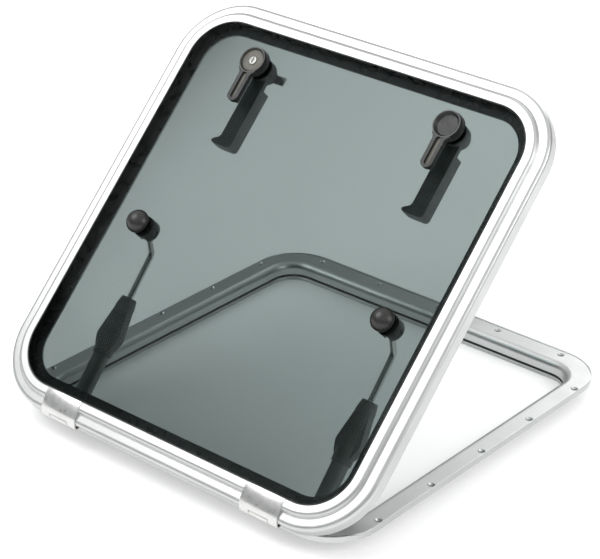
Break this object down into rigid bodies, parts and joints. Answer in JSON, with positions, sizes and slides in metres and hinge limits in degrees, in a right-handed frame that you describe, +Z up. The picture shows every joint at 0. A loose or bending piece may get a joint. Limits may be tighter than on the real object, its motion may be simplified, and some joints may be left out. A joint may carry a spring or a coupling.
{
  "type": "deck hatch",
  "caption": "Square glazed deck hatch: tinted lid on hinges over a screw-down frame, with turning handles and telescopic friction stays.",
  "frame": {"origin": "centre of the base's screw pattern, on the seating face of its flange, at deck level", "axes": "+X along the hinge line, +Y from the hinges to the handles, +Z up out of the deck"},
  "size_m": [0.583, 0.5843, 0.4534],
  "materials": {
    "satin_aluminium": "satin anodised",
    "cast_aluminium": "satin cast",
    "tinted_acrylic": "polished",
    "black_sealant": "smooth",
    "seal_rubber": "matt",
    "black_strip": "matt",
    "black_bush": "matt",
    "stainless": "polished",
    "dark_metal": "satin black",
    "dark_nylon": "fine matt",
    "handle_black": "satin",
    "lock_grey": "satin",
    "lock_metal": "satin"
  },
  "bodies": {
    "base": {"base_frame": "satin_aluminium", "latch_wear_strip": "black_strip", "hinge_bracket_left": "cast_aluminium", "hinge_bracket_right": "cast_aluminium", "hinge_bracket_screws": "stainless", "stay_bracket_left": "dark_metal", "stay_bracket_right": "dark_metal", "stay_foot_pin_left": "stainless", "stay_foot_pin_right": "stainless", "stay_bracket_screws": "stainless"},
    "lid": {"lid_frame": "satin_aluminium", "pane": "tinted_acrylic", "pane_sealant": "black_sealant", "weather_seal": "seal_rubber", "hinge_leaf_left": "cast_aluminium", "hinge_leaf_right": "cast_aluminium", "hinge_leaf_screws": "stainless", "hinge_pin_left": "stainless", "hinge_pin_right": "stainless", "hinge_bush_left": "black_bush", "hinge_bush_right": "black_bush", "spindle_bush_left": "black_bush", "spindle_bush_right": "black_bush", "handle_gaskets": "seal_rubber", "stay_cap_left": "dark_nylon", "stay_cap_right": "dark_nylon", "stay_boss_left": "dark_nylon", "stay_boss_right": "dark_nylon", "stay_washers": "seal_rubber", "stay_rod_pin_left": "stainless", "stay_rod_pin_right": "stainless"},
    "handle_left": {"outer_handle_left": "handle_black", "handle_inlay_left": "lock_grey", "lock_insert": "lock_grey", "spindle_left": "stainless", "inner_handle_left": "handle_black", "latch_tongue_left": "stainless", "spindle_screw_left": "stainless"},
    "handle_right": {"outer_handle_right": "handle_black", "handle_inlay_right": "lock_grey", "spindle_right": "stainless", "inner_handle_right": "handle_black", "latch_tongue_right": "stainless", "spindle_screw_right": "stainless"},
    "lock": {"lock_barrel": "lock_metal", "lock_cam": "stainless"},
    "rod_left": {"stay_rod_left": "stainless"},
    "tube_left": {"stay_tube_left": "dark_metal", "stay_collar_left": "dark_nylon"},
    "grip_left": {"twist_grip_left": "dark_nylon"},
    "rod_right": {"stay_rod_right": "stainless"},
    "tube_right": {"stay_tube_right": "dark_metal", "stay_collar_right": "dark_nylon"},
    "grip_right": {"twist_grip_right": "dark_nylon"}
  },
  "joints": [
    {"name": "lid_hinge", "type": "hinge", "parent": "base", "child": "lid", "pos_m": [0, -0.2946, 0.0134], "axis": [1, 0, 0], "range_deg": [-45, 10]},
    {"name": "handle_left", "type": "hinge", "parent": "lid", "child": "handle_left", "pos_m": [-0.1544, 0.07204, 0.37523], "axis": [0, -0.7071, 0.7071], "range_deg": [0, 90]},
    {"name": "handle_right", "type": "hinge", "parent": "lid", "child": "handle_right", "pos_m": [0.1544, 0.07204, 0.37523], "axis": [0, -0.7071, 0.7071], "range_deg": [-90, 0]},
    {"name": "key_lock", "type": "hinge", "parent": "handle_left", "child": "lock", "pos_m": [-0.1544, 0.05436, 0.3929], "axis": [0, -0.7071, 0.7071], "range_deg": [0, 90]},
    {"name": "stay_foot_left", "type": "hinge", "parent": "base", "child": "tube_left", "pos_m": [-0.198, -0.234, -0.004], "axis": [1, 0, 0], "range_deg": [-54, 12]},
    {"name": "stay_head_left", "type": "hinge", "parent": "lid", "child": "rod_left", "pos_m": [-0.198, -0.09979, 0.19491], "axis": [1, 0, 0], "range_deg": [-9, 2]},
    {"name": "grip_left", "type": "hinge", "parent": "tube_left", "child": "grip_left", "pos_m": [-0.198, -0.16154, 0.07877], "axis": [0, 0.6587, 0.7524], "range_deg": [0, 90]},
    {"name": "stay_foot_right", "type": "hinge", "parent": "base", "child": "tube_right", "pos_m": [0.198, -0.234, -0.004], "axis": [1, 0, 0], "range_deg": [-54, 12]},
    {"name": "stay_head_right", "type": "hinge", "parent": "lid", "child": "rod_right", "pos_m": [0.198, -0.09979, 0.19491], "axis": [1, 0, 0], "range_deg": [-9, 2]},
    {"name": "grip_right", "type": "hinge", "parent": "tube_right", "child": "grip_right", "pos_m": [0.198, -0.16154, 0.07877], "axis": [0, 0.6587, 0.7524], "range_deg": [0, 90]}
  ],
  "couplings": [
    {"joint": "stay_foot_left", "follows": "lid_hinge", "ratio": 1.193},
    {"joint": "stay_head_left", "follows": "lid_hinge", "ratio": 0.193},
    {"joint": "stay_foot_right", "follows": "lid_hinge", "ratio": 1.193},
    {"joint": "stay_head_right", "follows": "lid_hinge", "ratio": 0.193}
  ]
}
